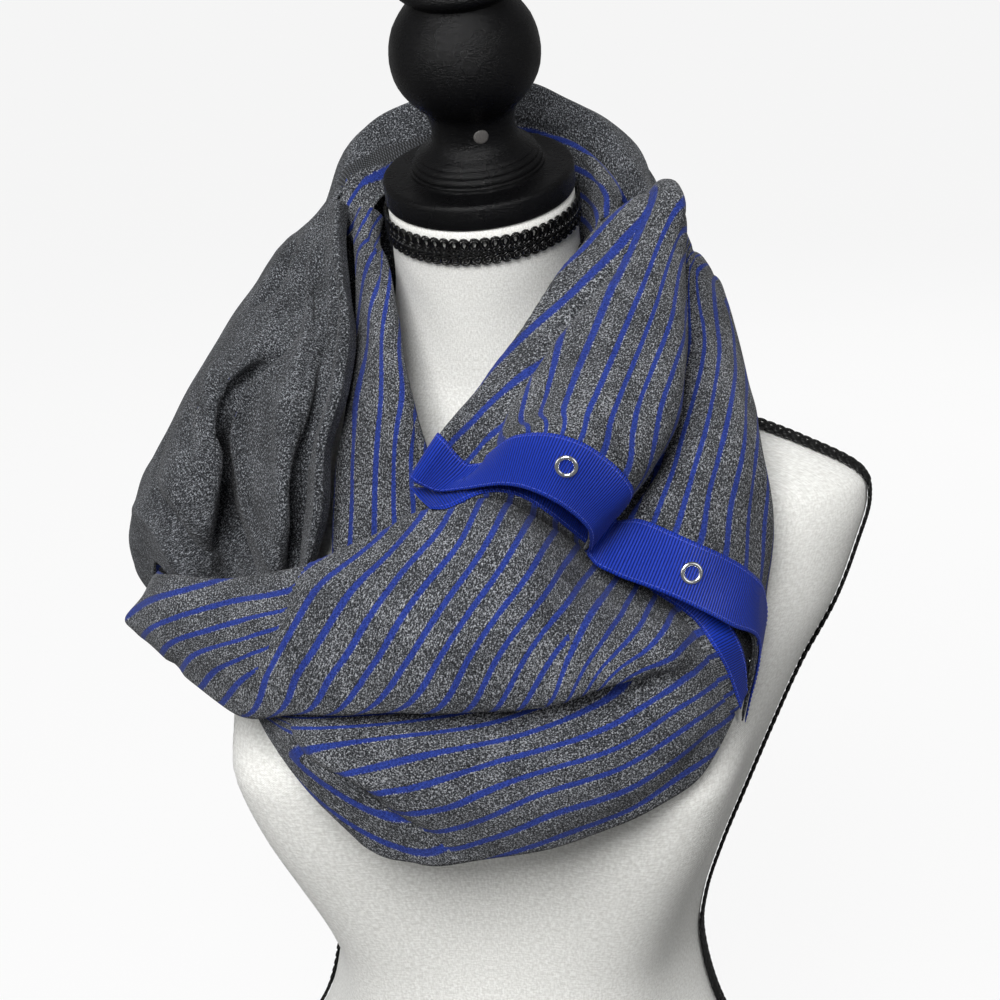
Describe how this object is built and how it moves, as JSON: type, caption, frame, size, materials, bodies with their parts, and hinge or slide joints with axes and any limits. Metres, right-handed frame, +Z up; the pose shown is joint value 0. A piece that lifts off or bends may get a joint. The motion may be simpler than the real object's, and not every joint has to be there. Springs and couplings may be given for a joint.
{
  "type": "infinity scarf on dress form",
  "caption": "Striped heather knit infinity scarf with ribbon-bound snap ends, wound in two turns on a limbless linen dress form with a turned neck cap.",
  "frame": {"origin": "middle of the flat underside of the dress form's base board, below the neck", "axes": "+Z up; the form faces -Y and its left side is +X"},
  "size_m": [0.3933, 0.2751, 0.7372],
  "materials": {
    "striped_knit": "brushed heather grey jersey with narrow royal blue stripes, matt",
    "plain_knit": "reverse of the jersey, plain heather grey, soft and matt",
    "grosgrain": "ribbed royal blue grosgrain ribbon with a low sheen",
    "snap_metal": "nickel-plated brass, polished",
    "linen": "off-white linen canvas, plain weave, matt",
    "gimp": "black rayon gimp braid",
    "black_wood": "turned hardwood with glossy black lacquer",
    "base_wood": "sealed birch plywood"
  },
  "bodies": {
    "root": {"torso": "linen", "base_board": "base_wood", "neck_cap": "black_wood", "neck_braid": "gimp", "side_braid_left": "gimp", "side_braid_right": "gimp", "right_strand": "striped_knit", "front_band": "striped_knit", "left_outer_drape": "plain_knit", "left_inner_strand": "striped_knit", "back_outer_turn": "striped_knit", "back_inner_turn": "striped_knit", "ribbon_upper": "grosgrain", "ribbon_lower": "grosgrain", "snap_1": "snap_metal", "snap_2": "snap_metal"}
  },
  "joints": []
}
